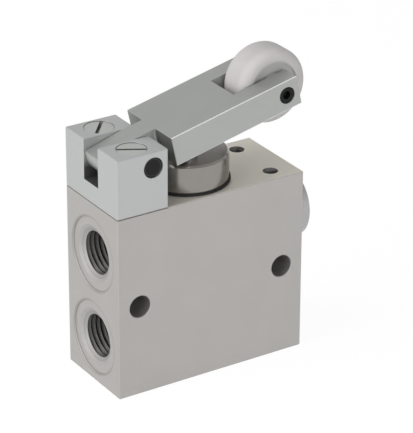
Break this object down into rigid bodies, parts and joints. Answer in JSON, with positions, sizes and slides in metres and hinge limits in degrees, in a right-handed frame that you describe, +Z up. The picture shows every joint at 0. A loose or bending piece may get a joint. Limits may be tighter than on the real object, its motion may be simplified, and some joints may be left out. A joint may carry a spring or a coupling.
{
  "type": "roller lever valve",
  "caption": "Three-way pneumatic spool valve in a flat block body, worked by a hinged lever whose free roller is pushed down on to a plunger.",
  "frame": {"origin": "centre of the body's flat base", "axes": "+Z up along the spool, +X from the pivot block towards the roller, the two threaded ports on the -X face, the wide faces square to Y"},
  "size_m": [0.0609, 0.025, 0.081],
  "materials": {
    "anodised_body": "bead-blasted and clear anodised, matt, light warm grey",
    "brass_cages": "turned",
    "seal_rubber": "black nitrile rubber",
    "turned_cap": "turned and polished",
    "bush_bronze": "sintered bronze",
    "polished_steel": "ground stainless steel",
    "spring_steel": "drawn stainless wire",
    "milled_block": "fine milled, clear anodised, slightly brighter than the body",
    "plated_screws": "bright zinc-plated steel",
    "black_pins": "black-oxide steel",
    "milled_lever": "milled flat bar, fine lines along its length",
    "roller_nylon": "natural nylon, slightly translucent",
    "plated_plug": "bright nickel plate",
    "plug_ring_aluminium": "soft aluminium ring"
  },
  "bodies": {
    "housing": {"valve_body": "anodised_body", "lower_cage": "brass_cages", "middle_cage": "brass_cages", "lower_seal_carrier": "brass_cages", "upper_seal_carrier": "brass_cages", "lower_spool_seal": "seal_rubber", "upper_spool_seal": "seal_rubber", "lower_body_seal": "seal_rubber", "upper_body_seal": "seal_rubber", "cap": "turned_cap", "cap_gasket": "seal_rubber", "guide_bush": "bush_bronze", "pivot_block": "milled_block", "pivot_block_screws": "plated_screws", "pivot_pin": "black_pins", "screw_plug": "plated_plug", "plug_sealing_ring": "plug_ring_aluminium"},
    "lever": {"lever": "milled_lever", "roller_pin": "black_pins"},
    "roller": {"roller": "roller_nylon"},
    "plunger": {"plunger": "polished_steel", "spool": "polished_steel", "return_spring": "spring_steel"}
  },
  "joints": [
    {"name": "lever_swing", "type": "hinge", "parent": "housing", "child": "lever", "pos_m": [-0.0171, 0, 0.06175], "axis": [0, 1, 0], "range_deg": [0, 8], "stiffness_Nm_per_rad": 0.745, "springref_deg": -7.28},
    {"name": "roller_spin", "type": "hinge", "parent": "lever", "child": "roller", "pos_m": [0.02345, 0, 0.07104], "axis": [0, 1, 0], "continuous": true},
    {"name": "plunger_slide", "type": "slide", "parent": "housing", "child": "plunger", "axis": [0, 0, -1], "range_m": [0, 0.00225], "deforming": ["return_spring"]}
  ],
  "couplings": [
    {"joint": "plunger_slide", "follows": "lever_swing", "m_per_rad": 0.015756}
  ]
}
